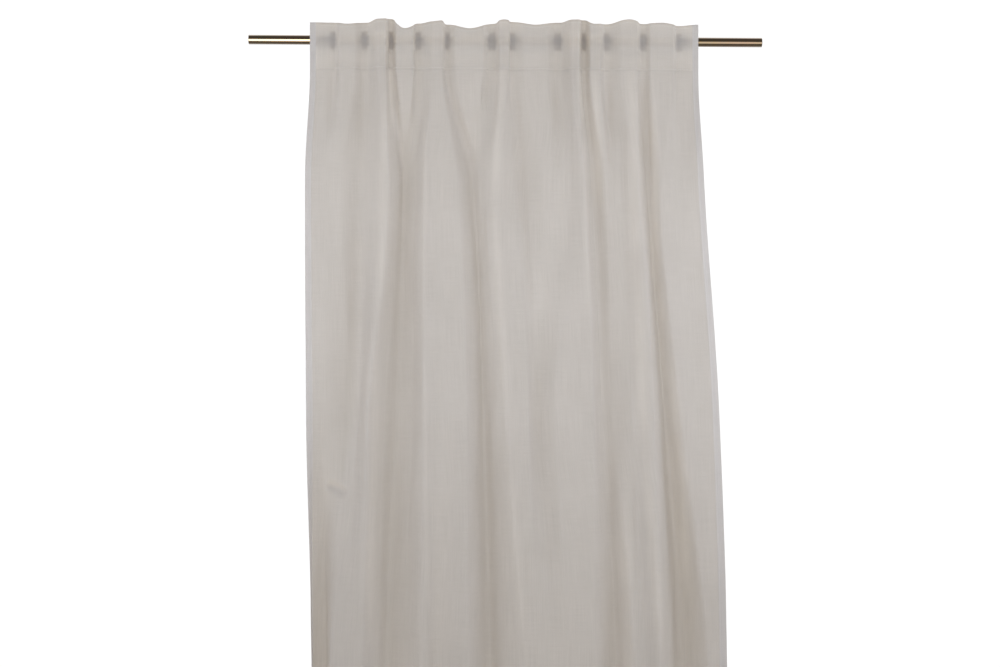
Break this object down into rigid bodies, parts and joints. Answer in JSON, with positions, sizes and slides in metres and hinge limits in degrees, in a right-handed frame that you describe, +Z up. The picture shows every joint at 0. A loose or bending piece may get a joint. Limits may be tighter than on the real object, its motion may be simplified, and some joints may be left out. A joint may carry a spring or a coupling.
{
  "type": "curtain panel on a rod",
  "caption": "Gathered linen-look curtain panel hung from a heading tape with rear loops on a plain round metal rod, falling in uneven soft folds to a plain hem.",
  "frame": {"origin": "middle of the rod's axis", "axes": "+X along the rod to the right as seen from the front, +Y from the front of the curtain to its back, +Z up"},
  "size_m": [1.2, 0.1211, 2.51],
  "materials": {
    "linen_cloth": "matt, light, open weave",
    "woven_tape": "matt woven tape",
    "bronzed_metal": "polished, dark bronze"
  },
  "bodies": {
    "root": {"panel": "linen_cloth", "heading_tape": "woven_tape", "rod_loop_1": "woven_tape", "rod_loop_2": "woven_tape", "rod_loop_3": "woven_tape", "rod_loop_4": "woven_tape", "rod_loop_5": "woven_tape", "rod_loop_6": "woven_tape", "rod_loop_7": "woven_tape", "rod_loop_8": "woven_tape", "rod_loop_9": "woven_tape", "rod_loop_10": "woven_tape", "rod_loop_11": "woven_tape", "rod_loop_12": "woven_tape", "rod": "bronzed_metal"}
  },
  "joints": []
}
